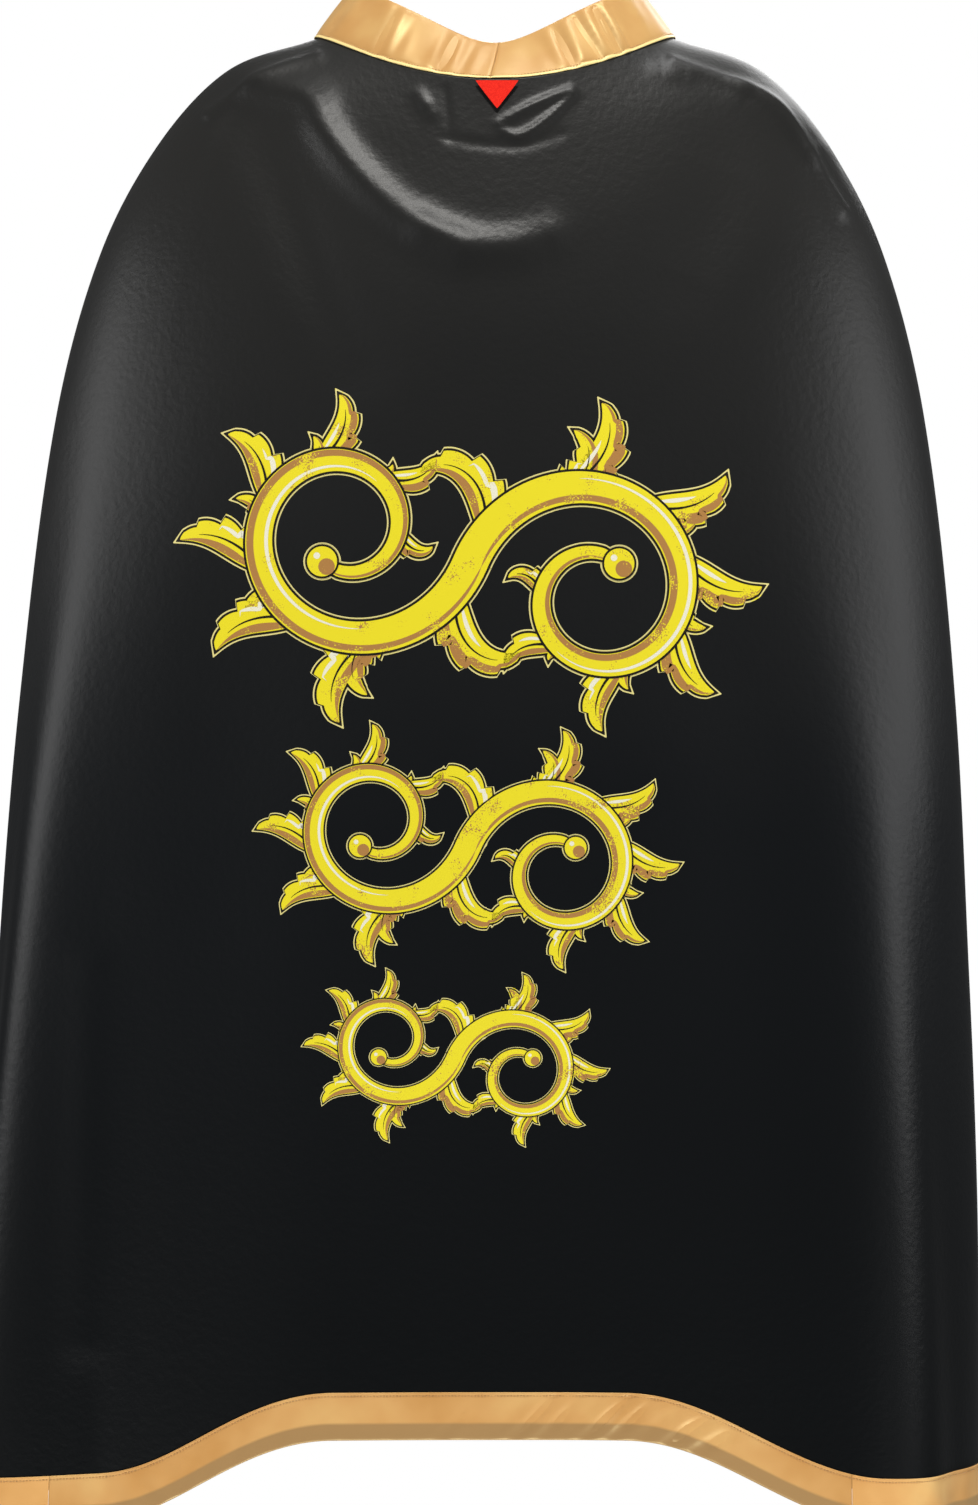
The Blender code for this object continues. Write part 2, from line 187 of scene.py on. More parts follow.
def crease_height(x, z):
    """How far the creases lift the cloth at these places on the back."""
    total = np.zeros_like(x)
    place = np.stack([x, z], -1)
    for points, half_width, height in CREASES:
        line = rounded(points)
        reach = CREASE_REACH * half_width
        low, high = line.min(0) - reach, line.max(0) + reach
        close = np.all((place > low) & (place < high), axis=-1)
        here = place[close]
        nearest = np.full(len(here), np.inf)
        taper = np.zeros(len(here))
        spans = len(line) - 1
        for k in range(spans):
            run = line[k + 1] - line[k]
            t = np.clip(((here - line[k]) @ run) / (run @ run), 0, 1)
            away = np.linalg.norm(here - line[k] - t[:, None] * run, axis=-1)
            closer = away < nearest
            nearest = np.where(closer, away, nearest)
            taper = np.where(closer, (k + t) / spans, taper)
        swell = 0.55 + 0.45 * np.sin(math.pi * np.clip(taper, 0.06, 0.94))
        total[close] += height * np.exp(-((nearest / half_width) ** 2)) * swell
    return total


def ripple(angle, level):
    """Low uneven waves that run down the cloth and fade out towards the collar."""
    a = np.radians(angle)
    wave = np.sin(9.3 * a + 1.1 + 1.6 * level) + 0.7 * np.sin(15.7 * a - 0.6 - 2.3 * level)
    slow = np.sin(4.1 * a + 6.5 * level + 0.4) * np.sin(7.9 * level + 2.1 * a + 1.3)
    return 0.0011 * wave * eased((level - 0.12) / 0.5) + 0.0014 * slow * eased(level / 0.15)


def cloth(angle, level, offset=0.0):
    """The body's cloth with its creases, offset outwards."""
    base = drape(angle, level)
    # the creases are on the back: they fade out before the sides and under the collar
    shown = eased(np.cos(np.radians(angle)) / 0.22) * eased(level / 0.012)
    lift = crease_height(base[..., 0], base[..., 2]) * shown
    lift = lift + ripple(angle, level) + offset
    return base + lift[..., None] * normal_of(drape, angle, level)


def above_hem(angle, distance):
    """The level that lies a distance up the cloth from its lower edge."""
    step = 0.002
    fall = drape(angle, 1.0) - drape(angle, 1 - step)
    return 1 - distance * step / np.linalg.norm(fall, axis=-1)


def edge_angle(level):
    return through(EDGE_ANGLES, level)


def collar_point(angle, rise, offset):
    """A point on the collar, rise up its slope and offset outwards from its middle."""
    across = drape(angle + ANGLE_STEP, 0.0) - drape(angle - ANGLE_STEP, 0.0)
    out = unit(vectors(across[..., 1], -across[..., 0], 0.0))
    lean = COLLAR_LEAN
    for middle, half_width, added in COLLAR_LEAN_CHANGES:
        lean = lean + added * np.exp(-(((np.abs(angle) - middle) / half_width) ** 2))
    inwards, up = np.sin(np.radians(lean)), np.cos(np.radians(lean))
    slope = vectors(0.0, 0.0, up) - out * inwards[..., None]
    face = vectors(0.0, 0.0, inwards) + out * up[..., None]
    rise, offset = np.asarray(rise)[..., None], np.asarray(offset)[..., None]
    return drape(angle, 0.0) + rise * slope + offset * face


def facing_collar(angle, rise, offset):
    """A point on the collar and the way the collar faces there."""
    point = collar_point(angle, rise, offset)
    return point, unit(collar_point(angle, rise, offset + 0.001) - point)


# ---------------------------------------------------------------- materials


def new_material(name):
    made = bpy.data.materials.new(name)
    made.use_nodes = True
    tree = made.node_tree
    return made, tree, tree.nodes["Principled BSDF"]


def plug(tree, made, inputs):
    """Link or set inputs of a node."""
    for key, value in inputs.items():
        socket = made.inputs[key]
        if isinstance(value, bpy.types.NodeSocket):
            tree.links.new(value, socket)
        else:
            socket.default_value = value


def node(tree, kind, inputs=None, **settings):
    made = tree.nodes.new(kind)
    for key, value in settings.items():
        setattr(made, key, value)
    plug(tree, made, inputs or {})
    return made


def noise(tree, scale, detail=2.0):
    """Noise through space, of a scale per metre."""
    place = node(tree, "ShaderNodeNewGeometry").outputs["Position"]
    return node(tree, "ShaderNodeTexNoise", {
        "Vector": place, "Scale": scale, "Detail": detail,
    }).outputs["Fac"]


def bump(tree, height, strength, distance, **inputs):
    return node(tree, "ShaderNodeBump", {
        "Height": height, "Strength": strength, "Distance": distance, **inputs,
    }).outputs["Normal"]


def ramp(tree, value, stops):
    made = node(tree, "ShaderNodeValToRGB", {"Fac": value})
    colours = made.color_ramp.elements
    while len(colours) < len(stops):
        colours.new(0.5)
    for element, (place, colour) in zip(colours, stops):
        element.position = place
        element.color = (*colour, 1.0)
    return made.outputs["Color"]


def weave(tree, across, along, strength, distance):
    """A fine woven bump from the cloth's own UV in metres, and its height."""
    uv = node(tree, "ShaderNodeUVMap").outputs["UV"]
    scaled = node(tree, "ShaderNodeMapping", {"Vector": uv, "Scale": (across, along, 1.0)})
    threads = node(tree, "ShaderNodeTexNoise", {
        "Vector": scaled.outputs["Vector"], "Scale": 1.0, "Detail": 2.0, "Roughness": 0.55,
    }).outputs["Fac"]
    return threads, bump(tree, threads, strength, distance)


def satin_finish(tree, shader, threads, smoothest, inputs):
    """The gloss of both satins: drawn out along the weave and uneven with its threads."""
    rough = node(tree, "ShaderNodeMapRange", {
        "Value": threads, "From Min": 0.3, "From Max": 0.7, "To Min": smoothest, "To Max": 0.44,
    })
    floats = node(tree, "ShaderNodeTangent", direction_type="UV_MAP", uv_map="UVMap")
    plug(tree, shader, {
        **inputs, "Roughness": rough.outputs["Result"], "Anisotropic": 0.5,
        "Tangent": floats.outputs["Tangent"],
    })


def black_satin():
    made, tree, shader = new_material("black satin")
    threads, woven = weave(tree, 900.0, 2600.0, 0.06, 0.0002)
    normal = bump(tree, noise(tree, 190.0, 4.0), 0.28, 0.0010, Normal=woven)
    # painted light and shade: the base colour is lighter towards the top of the cape, where the
    # light from above falls, and darker towards the hem; a little random tone is added to it
    place = node(tree, "ShaderNodeNewGeometry").outputs["Position"]
    height = node(tree, "ShaderNodeSeparateXYZ", {"Vector": place}).outputs["Z"]
    fall = node(tree, "ShaderNodeMapRange", {
        "Value": height, "From Min": -1.05, "From Max": 0.02, "To Min": 0.0, "To Max": 1.0,
    }).outputs["Result"]
    random_tone = node(tree, "ShaderNodeMath", {0: noise(tree, 5.0, 3.0), 1: 0.16}, operation="MULTIPLY")
    tone = node(tree, "ShaderNodeMath", {0: fall, 1: random_tone.outputs[0]}, operation="ADD")
    colour = ramp(tree, tone.outputs[0], (
        (0.05, (0.0028, 0.0034, 0.0038)), (0.55, (0.0058, 0.0068, 0.0080)),
        (1.0, (0.0190, 0.0188, 0.0180)),
    ))
    satin_finish(tree, shader, threads, 0.36, {
        "Base Color": colour, "Normal": normal, "Specular IOR Level": 0.25,
        "Sheen Weight": 0.02, "Sheen Roughness": 0.35,
    })
    return made


def gold_satin(name, tone=1.0, edge=None, edge_colour_and_highlight=None):
    """Gold satin, its colour scaled by tone; below the height edge (metres up the cloth) it takes
    the edge colour instead, a darker strip on the hem and a painted highlight on the collar.
    """
    made, tree, shader = new_material(name)
    threads, normal = weave(tree, 900.0, 2600.0, 0.05, 0.0002)
    colour = ramp(tree, noise(tree, 16.0, 3.0), (
        (0.30, (0.690 * tone, 0.345 * tone, 0.105 * tone)),
        (0.52, (0.790 * tone, 0.430 * tone, 0.150 * tone)),
        (0.74, (0.890 * tone, 0.550 * tone, 0.205 * tone)),
    ))
    # the edge colour: on the hem the darker turn-up showing through, on the collar a painted
    # highlight on its folded lower edge
    if edge:
        uv = node(tree, "ShaderNodeUVMap").outputs["UV"]
        rise = node(tree, "ShaderNodeSeparateXYZ", {"Vector": uv}).outputs["Y"]
        shown = node(tree, "ShaderNodeMapRange", {
            "Value": rise, "From Min": edge - 0.0010, "From Max": edge + 0.0010,
            "To Min": 1.0, "To Max": 0.0,
        })
        deep = node(tree, "ShaderNodeMix", {
            "Factor": shown.outputs["Result"], "A": colour, "B": (*edge_colour_and_highlight, 1.0),
        }, data_type="RGBA")
        colour = deep.outputs["Result"]
    satin_finish(tree, shader, threads, 0.32, {
        "Base Color": colour, "Normal": normal, "Specular IOR Level": 0.7,
        "Specular Tint": (1.0, 0.86, 0.45, 1.0), "Sheen Weight": 0.2,
        "Sheen Tint": (1.0, 0.84, 0.48, 1.0), "Sheen Roughness": 0.4,
    })
    return made


def thread_material(name, colour):
    made, tree, shader = new_material(name)
    twist = noise(tree, 2200.0, 1.0)
    dark = tuple(0.6 * c for c in colour)
    plug(tree, shader, {
        "Base Color": ramp(tree, twist, ((0.3, dark), (0.7, colour))),
        "Normal": bump(tree, twist, 0.4, 0.0002), "Roughness": 0.55, "Sheen Weight": 0.3,
    })
    return made


def woven_material(name, dark, light, scale, roughness, relief, sheen=0.2, gloss=0.5):
    """A matt cloth or tape: two tones of a fine grain, with relief."""
    made, tree, shader = new_material(name)
    place = node(tree, "ShaderNodeNewGeometry").outputs["Position"]
    grain = node(tree, "ShaderNodeTexVoronoi", {"Vector": place, "Scale": scale})
    both = node(tree, "ShaderNodeMath", {
        0: grain.outputs["Distance"], 1: noise(tree, scale * 0.4),
    }, operation="MULTIPLY").outputs[0]
    plug(tree, shader, {
        "Base Color": ramp(tree, both, ((0.05, dark), (0.45, light))),
        "Normal": bump(tree, both, 0.7, relief), "Roughness": roughness,
        "Specular IOR Level": gloss, "Sheen Weight": sheen,
    })
    return made


def ink(name, colour, speckle, share):
    """One colour of the print: thin flexible film with a little of the speckle colour in it."""
    made, tree, shader = new_material(name)
    dots = noise(tree, 900.0)
    both = node(tree, "ShaderNodeMath", {0: dots, 1: noise(tree, 55.0)}, operation="ADD")
    edge = 1.34 - 0.4 * share
    tone = node(tree, "ShaderNodeMapRange", {
        "Value": both.outputs[0], "From Min": edge - 0.03, "From Max": edge + 0.03,
    })
    mixed = node(tree, "ShaderNodeMix", {
        "Factor": tone.outputs["Result"], "A": (*colour, 1.0), "B": (*speckle, 1.0),
    }, data_type="RGBA")
    plug(tree, shader, {
        "Base Color": mixed.outputs["Result"], "Normal": bump(tree, dots, 0.15, 0.0002),
        "Roughness": 0.42,
    })
    return made


BLACK = black_satin()
GOLD = gold_satin("gold satin")
# the collar's copy of the gold satin is darker, painted shade against its brighter light, and its
# lowest 3.4 mm are bright yellow, a painted highlight on the folded edge
GOLD_COLLAR_SHADE_AND_HIGHLIGHT = gold_satin("gold satin collar, painted shade and highlight", 0.72, 0.0034, (1.000, 0.780, 0.330))
# the hem's middle copy of the gold satin is darker and the side pieces' copy lighter: painted shade
# and painted light for how differently the pieces reflect; the darker strip below 12.5 mm is the
# turn-up showing through
GOLD_HEM_SHADED = gold_satin("gold satin hem", 0.92, 0.0125, (0.430, 0.255, 0.105))
GOLD_HEM_SIDES_LIT = gold_satin("gold satin hem sides", 1.06, 0.0125, (0.480, 0.280, 0.115))
GOLD_THREAD = thread_material("gold thread", (0.620, 0.330, 0.110))
BLACK_THREAD = thread_material("black thread", (0.016, 0.016, 0.017))
TAG = woven_material("red tag", (0.700, 0.010, 0.005), (0.960, 0.030, 0.013), 1800.0, 0.8,
                     0.0002, sheen=0.0, gloss=0.15)
LOOPS = woven_material("loop tape", (0.420, 0.240, 0.090), (0.740, 0.460, 0.200), 1500.0, 0.95,
                       0.0012)
HOOKS = woven_material("hook tape", (0.300, 0.170, 0.060), (0.640, 0.400, 0.180), 900.0, 0.6,
                       0.0010)
STIFFENER = woven_material("interlining", (0.620, 0.610, 0.580), (0.840, 0.830, 0.800), 700.0,
                           0.9, 0.0004)
YELLOW, BROWN, CREAM = (0.930, 0.800, 0.022), (0.470, 0.230, 0.065), (0.860, 0.760, 0.300)
INK = (0.010, 0.007, 0.004)
INKS = {
    "rim": ink("print rim", CREAM, YELLOW, 0.2),
    "outline": ink("print outline", INK, INK, 0.0),
    "body": ink("print yellow", YELLOW, BROWN, 0.25),
    "shade": ink("print brown", BROWN, YELLOW, 0.35),
    "light": ink("print highlight", (0.930, 0.900, 0.720), YELLOW, 0.15),
}

# ---------------------------------------------------------------- mesh building


def build(name, points, faces, materials, uv=None, normals=None, face_material=None):
    mesh = bpy.data.meshes.new(name)
    mesh.from_pydata(points.tolist(), [], faces)
    for material in materials:
        mesh.materials.append(material)
    mesh.polygons.foreach_set("use_smooth", [True] * len(mesh.polygons))
    if face_material is not None:
        mesh.polygons.foreach_set("material_index", face_material)
    if uv is not None:
        corner = np.empty(len(mesh.loops), np.int32)
        mesh.loops.foreach_get("vertex_index", corner)
        layer = mesh.uv_layers.new(name="UVMap")
        layer.data.foreach_set("uv", uv.reshape(-1, 2)[corner].ravel())
    mesh.update()
    if normals is not None:
        mesh.normals_split_custom_set_from_vertices(normals.tolist())
    made = bpy.data.objects.new(name, mesh)
    bpy.context.scene.collection.objects.link(made)
    return made


def quads(rows, columns, start=0):
    """Faces of a grid whose points go row by row."""
    r, c = np.meshgrid(np.arange(rows - 1), np.arange(columns - 1), indexing="ij")
    a = (start + r * columns + c).ravel()
    return np.stack([a, a + columns, a + columns + 1, a + 1], 1)


def tube(stations, count):
    """Faces of a tube whose points go ring by ring."""
    s, c = np.meshgrid(np.arange(stations - 1), np.arange(count), indexing="ij")
    a, b = (s * count + c).ravel(), (s * count + (c + 1) % count).ravel()
    return np.stack([a, a + count, b + count, b], 1)


def lengths(points, axis):
    """Distance travelled along one axis of a grid of points, from its first row or column."""
    steps = np.linalg.norm(np.diff(points, axis=axis), axis=-1)
    return np.insert(np.cumsum(steps, axis=axis), 0, 0.0, axis=axis)


def double_sheet(name, points, normals, thickness, material, uv):
    """A closed sheet of cloth: both faces and the rim between them."""
    rows, columns = points.shape[:2]
    flat, out = points.reshape(-1, 3), normals.reshape(-1, 3)
    both = np.vstack([flat + out * thickness / 2, flat - out * thickness / 2])
    back = rows * columns
    faces = np.vstack([quads(rows, columns), quads(rows, columns, back)[:, ::-1]])
    rim = np.concatenate([
        np.arange(columns), np.arange(1, rows) * columns + columns - 1,
        (rows - 1) * columns + np.arange(columns - 2, -1, -1),
        np.arange(rows - 2, 0, -1) * columns,
    ])
    ahead = np.roll(rim, -1)
    faces = np.vstack([faces, np.stack([rim, ahead, ahead + back, rim + back], 1)])
    both_uv = np.vstack([uv.reshape(-1, 2)] * 2)
    return build(name, both, faces.tolist(), [material], both_uv, np.vstack([out, -out]))


def swept(name, sections, material, uv=None):
    """A closed strip through sections: an array of stations by section points."""
    stations, count = sections.shape[:2]
    faces = tube(stations, count).tolist()
    faces.append(list(range(count)))
    faces.append(list(range(stations * count - 1, (stations - 1) * count - 1, -1)))
    return build(name, sections.reshape(-1, 3), faces, [material], uv)


def in_metres(section):
    """The two columns of a section drawn in millimetres, each as one row."""
    return np.array(section).T[:, None, :] / 1000


def spaced(line, pitch):
    """Places a pitch apart along a polyline, as fractional indexes of its points."""
    travelled = lengths(line, 0)
    count = max(2, int(travelled[-1] / pitch))
    return np.interp(np.arange(count) * pitch + pitch / 2, travelled, np.arange(len(line)))


# Rings of one stitch: place along it, rise off the cloth and size, in lengths and radii.
STITCH_RINGS = (
    (-0.50, -0.9, 0.55), (-0.32, 0.4, 1.0), (0.0, 0.8, 1.0), (0.32, 0.4, 1.0), (0.50, -0.9, 0.55),
)
STITCH_SIDES = 6


def stitch_row(name, line, out, material, pitch=0.0024, length=0.0018, radius=0.00022):
    """Machine stitches along a line on the cloth: each dips in at both ends."""
    places = spaced(line, pitch)
    index = np.arange(len(line))

    def at(values, where):
        return np.stack([np.interp(where, index, values[:, k]) for k in range(3)], -1)

    middle, up = at(line, places), unit(at(out, places))
    along = unit(at(line, places + 0.4) - at(line, places - 0.4))
    side = np.cross(along, up)
    blocks = []
    for run, lift, size in STITCH_RINGS:
        for turn in np.linspace(0, 2 * math.pi, STITCH_SIDES, endpoint=False):
            blocks.append(
                middle + along * run * length
                + up * radius * (lift + size * math.sin(turn))
                + side * radius * size * math.cos(turn)
            )
    points = np.stack(blocks, 1)
    count, each = STITCH_SIDES, points.shape[1]
    starts = (np.arange(len(points)) * each)[:, None, None]
    faces = (tube(len(STITCH_RINGS), count) + starts).reshape(-1, 4).tolist()
    caps = np.stack([np.arange(count), each - 1 - np.arange(count)])
    faces += (caps + starts).reshape(-1, count).tolist()
    return build(name, points.reshape(-1, 3), faces, [material])


# ---------------------------------------------------------------- body


def bend_corner(piece):
    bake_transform(piece)
    return piece


BODY_COLUMNS, BODY_ROWS, MIDDLE_SHARE = 421, 260, 0.60
ROW_CROWDING = 1.15
SATIN_THICKNESS = 0.0005
SEAM_ALLOWANCE, SEAM_ROWS = 0.0065, 5


def body():
    """The satin body in three pieces that meet without a seam."""
    share = np.linspace(-1, 1, BODY_COLUMNS)
    level = np.linspace(0, 1, BODY_ROWS)[:, None] ** ROW_CROWDING
    angle = share[None, :] * edge_angle(level)
    level = level * above_hem(angle, HEM_HEIGHT - HEM_OVERLAP)
    points = cloth(angle, level)
    normals = normal_of(cloth, angle, level)
    seam = np.linspace(SEAM_ALLOWANCE, 0.001, SEAM_ROWS)[:, None] + 0 * angle[:1]
    inside, facing = facing_collar(angle[:1] + 0 * seam, seam, 0 * seam)
    points, normals = np.vstack([inside, points]), np.vstack([facing, normals])
    u = lengths(points, 1)
    u = u - u[:, BODY_COLUMNS // 2][:, None]
    uv = np.stack([u, lengths(points, 0)], -1)
    cut = round((1 - MIDDLE_SHARE) / 2 * (BODY_COLUMNS - 1))
    pieces = {}
    for name, first, last in (
        ("body_left", 0, cut), ("body_back", cut, BODY_COLUMNS - 1 - cut),
        ("body_right", BODY_COLUMNS - 1 - cut, BODY_COLUMNS - 1),
    ):
        part = slice(first, last + 1)
        pieces[name] = double_sheet(
            name, points[:, part], normals[:, part], SATIN_THICKNESS, BLACK, uv[:, part]
        )
    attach(pieces["body_back"], "cape")
    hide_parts("body_panel")
    for side in ("left", "right"):
        piece = bend_corner(pieces["body_" + side])
        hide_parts(side + "_corner_flap")
    return pieces


# The front hem's section: metres past the cloth's edge, and offset in half thicknesses.
FRONT_HEM_SECTION = (
    (0.0004, 0.0), (0.0003, 0.6), (-0.002, 1.0), (-0.0045, 1.0), (-0.0070, 0.85), (-0.0085, 0.35),
    (-0.0085, -0.35), (-0.0070, -0.9), (-0.0045, -1.1), (-0.002, -1.0), (0.0003, -0.6),
)
FRONT_HEM_HALF, FRONT_STITCH_INSET = 0.0007, 0.0062


def front_edges():
    """The narrow folded hem down each front edge, with its stitching."""
    level = np.linspace(0.0, above_hem(94.0, HEM_HEIGHT - 0.002), 260)
    made = []
    for sign, side in ((-1, "left"), (1, "right")):
        edge = edge_angle(level)
        span = np.linalg.norm(drape(edge + 0.5, level) - drape(edge - 0.5, level), axis=-1)
        sections = []
        for inset, height in FRONT_HEM_SECTION:
            at = sign * (edge + inset / span)
            sections.append(cloth(at, level, height * FRONT_HEM_HALF))
        order = sections if sign < 0 else sections[::-1]
        piece = swept(f"front_hem_{side}", np.stack(order, 1), BLACK)
        at = sign * (edge - FRONT_STITCH_INSET / span)
        line = cloth(at, level, 0.9 * FRONT_HEM_HALF)
        stitches = stitch_row(f"front_stitches_{side}", line, normal_of(cloth, at, level),
                              BLACK_THREAD)
        for one in (piece, stitches):
            bend_corner(one)
            made.append(one)
    return made


# ---------------------------------------------------------------- hem band

# The band's section: (height up the cloth, offset from the middle of the body's cloth), mm.
HEM_SECTION = (
    (0.0, 0.1), (0.1, 0.7), (0.7, 1.1), (2.5, 1.2), (5, 1.2), (8, 1.2), (11, 1.2), (12.2, 1.15),
    (13.2, 1.0), (16, 1.0), (19, 1.0), (22, 1.05), (25, 1.1), (28, 1.1), (30, 1.05), (31.6, 0.9),
    (32.5, 0.75), (33.4, 0.95), (34.4, 1.15), (35.0, 1.0), (35.2, 0.7), (34.9, 0.4), (33.0, 0.3),
    (28, 0.3), (22, 0.3), (15, 0.3), (8, 0.3), (1.2, 0.3), (1.2, -0.1), (8, -0.1), (12, -0.1),
    (12.1, -0.4), (11.6, -0.6), (6, -0.6), (0.6, -0.6), (0.1, -0.3),
)
# Puckers on the band: middle (x), half width, height, all in metres, and slant.
HEM_PUCKERS = (
    (-0.020, 0.014, 0.0012, -0.9), (0.035, 0.026, 0.0016, -0.9), (0.088, 0.022, 0.0019, -1.0),
    (0.148, 0.024, 0.0019, -0.9), (-0.255, 0.035, 0.0008, 0.7), (0.300, 0.040, 0.0006, 0.6),
)


def hem_lift(x, rise, seed):
    """Puckers and slack between the band's stitched edge and its fold."""
    slack = np.sin(math.pi * np.clip(rise / HEM_HEIGHT, 0, 1)) ** 0.8
    wave = np.sin(210 * x + 60 * rise + seed) + 0.6 * np.sin(367 * x - 90 * rise + 2.2 * seed)
    lift = 0.00012 * wave * (0.35 + slack)
    for middle, half_width, height, slant in HEM_PUCKERS:
        place = x - middle + slant * (rise - 0.018)
        near = np.exp(-((place / half_width) ** 2))
        lift = lift + height * near * slack * np.sin(2 * math.pi * place / 0.021)
    return lift


STATIONS_PER_DEGREE = 5.2
HEM_STITCH_RISE, HEM_STITCH_OFFSET = 0.0325, 0.0009


def hem_band(name, first, last, seed, material):
    stations = int(abs(last - first) * STATIONS_PER_DEGREE)
    angle = np.linspace(first, last, stations)[:, None]
    rise, offset = in_metres(HEM_SECTION)
    x = drape(angle, 1.0)[..., 0]
    outer = np.clip((offset - 0.0003) / 0.0006, 0, 1)
    offset = offset + hem_lift(x, rise, seed) * outer
    sections = cloth(angle, above_hem(angle, rise), offset)
    run = lengths(sections[:, 10], 0)[:, None]
    uv = np.stack(np.broadcast_arrays(run, rise), -1)
    piece = swept(name, sections, material, uv)
    at = angle[:, 0]
    level = above_hem(at, HEM_STITCH_RISE)
    line = cloth(at, level, HEM_STITCH_OFFSET)
    stitches = stitch_row(name.replace("band", "stitches"), line, normal_of(cloth, at, level),
                          GOLD_THREAD)
    return piece, stitches


def hem():
    left_join, right_join = HEM_JOINS
    end = float(edge_angle(1.0)) + 0.1
    band, stitches = hem_band("hem_band_middle", left_join, right_join, 0.3, GOLD_HEM_SHADED)
    for piece in (band, stitches):
        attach(piece, "cape")
    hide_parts("hem_band_back")
    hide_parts("hem_stitching_back")
    made = [band, stitches]
    for side, first, last, seed in (
        ("left", -end, left_join - 0.03, 1.7), ("right", right_join + 0.03, end, 2.9),
    ):
        band, stitches = hem_band(f"hem_band_{side}_side", first, last, seed, GOLD_HEM_SIDES_LIT)
        for piece in (band, stitches):
            bend_corner(piece)
        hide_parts("hem_band_" + side, "hem_band_" + side + "_corner")
        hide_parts("hem_stitching_" + side)
        made += [band, stitches]
    return made


# ---------------------------------------------------------------- collar

# The collar's section: (rise, offset from its middle), mm, from the outer lower edge round.
COLLAR_SECTION = (
    (1.0, 1.1), (1.4, 1.55), (2.2, 1.6), (3.2, 1.45), (4.0, 1.30), (4.8, 1.45), (7, 1.7), (12, 1.8),
    (18, 1.8), (25, 1.8), (32, 1.8), (39, 1.75), (45, 1.65), (49.4, 1.5), (51.2, 1.1), (51.9, 0.4),
    (51.9, -0.4), (51.2, -1.1), (49.4, -1.4), (44, -1.5), (35, -1.55), (25, -1.55), (14, -1.5),
    (6, -1.4), (2.9, -1.3), (2.4, -1.15), (2.5, -0.75), (4.0, -0.7), (8, -0.75), (26, -0.8),
    (46, -0.8), (50.4, -0.5), (50.4, 0.5), (46, 0.8), (26, 0.9), (8, 0.8), (2.5, 0.7),
)
# Puckers on the collar: middle and half width in degrees, height and slant.
COLLAR_PUCKERS = (
    (26.0, 6.0, 0.0014, 0.45), (35.0, 4.5, 0.0020, 0.60), (43.0, 4.0, 0.0018, 0.50),
    (-15.0, 8.0, 0.0008, -0.4), (-38.0, 8.0, 0.0008, -0.5),
)
COLLAR_STATIONS = 420
COLLAR_STITCH_RISE, COLLAR_STITCH_OFFSET = 0.0040, 0.0014
# The interlining and the stitching stop this many degrees short of the collar's ends.
COLLAR_END_INSET = 2
STIFFENER_RISE = (0.0080, 0.0460)


def collar_lift(angle, rise):
    """Slack, puckers and the seam's groove on the collar's faces."""
    t = np.clip(rise / COLLAR_HEIGHT, 0, 1)
    body_share = np.sin(math.pi * t) ** 0.7
    slow, quick = np.sin(0.21 * angle + 22 * rise + 0.9), np.sin(0.47 * angle - 40 * rise)
    lift = 0.00050 * slow + 0.00025 * quick
    for middle, half_width, height, slant in COLLAR_PUCKERS:
        place = angle - middle + slant * 180 * (rise - 0.02)
        lift = lift + height * np.exp(-((place / half_width) ** 2)) * np.sin(place * 0.88) * 1.2
    seam = np.exp(-((angle / 0.55) ** 2)) * 0.0006
    return lift * (0.15 + body_share) - seam * (t < 0.98)


def collar_band(side, first, last):
    angle = np.linspace(first, last, COLLAR_STATIONS)[:, None]
    rise, offset = in_metres(COLLAR_SECTION)
    outer = np.clip((np.abs(offset) - 0.0009) / 0.0005, 0, 1) * np.sign(offset)
    offset = offset + collar_lift(angle, rise) * outer
    slant = 0.0075 * (rise / COLLAR_HEIGHT - 0.5) * np.exp(-((angle / 6.0) ** 2))
    shifted = angle + np.degrees(slant / 0.135)
    sections = collar_point(shifted, rise + 0 * angle, offset)
    run = lengths(sections[:, 9], 0)[:, None]
    uv = np.stack(np.broadcast_arrays(run, rise), -1)
    piece = swept("collar_" + side, sections, GOLD_COLLAR_SHADE_AND_HIGHLIGHT, uv)
    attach(piece, "cape")
    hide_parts("collar_band_" + side)
    return piece


def collar():
    made = [collar_band("left", -COLLAR_END, -0.03), collar_band("right", 0.03, COLLAR_END)]
    end = COLLAR_END - COLLAR_END_INSET
    at = np.linspace(-end, end, 700)
    line, out = facing_collar(at, 0 * at + COLLAR_STITCH_RISE, 0 * at + COLLAR_STITCH_OFFSET)
    stitches = stitch_row("collar_stitches", line, out, GOLD_THREAD)
    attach(stitches, "cape")
    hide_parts("collar_stitching")
    return made + [stitches]


def interlining():
    """The stiff sheet inside the collar."""
    end = COLLAR_END - COLLAR_END_INSET
    angle, rise = np.meshgrid(np.linspace(-end, end, 400), np.linspace(*STIFFENER_RISE, 16))
    points, out = facing_collar(angle, rise, 0 * rise)
    uv = np.stack([lengths(points, 1), rise], -1)[:, ::-1]
    piece = double_sheet("collar_stiffener", points[:, ::-1], out[:, ::-1], 0.0004, STIFFENER, uv)
    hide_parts("collar_interlining")
    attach(piece, "cape")
    return piece


# ---------------------------------------------------------------- closure and tag

TAB_ROOT, TAB_LENGTH, TAB_BASE, TAB_HEIGHT, TAB_THICKNESS = 173.5, 0.060, 0.010, 0.032, 0.0012
TAB_CORNER, TAB_STITCH_INSET = 0.007, 0.003
PATCH_LENGTH, PATCH_HEIGHT, PATCH_THICKNESS, PATCH_CORNER = 0.032, 0.022, 0.0012, 0.002
COLLAR_FACE, TAPE_GAP = 0.00145, 0.0003
# Metres along the collar's foot for one degree, at the throat.
THROAT_DEGREE = np.linalg.norm(drape(180.5, 0.0) - drape(179.5, 0.0))


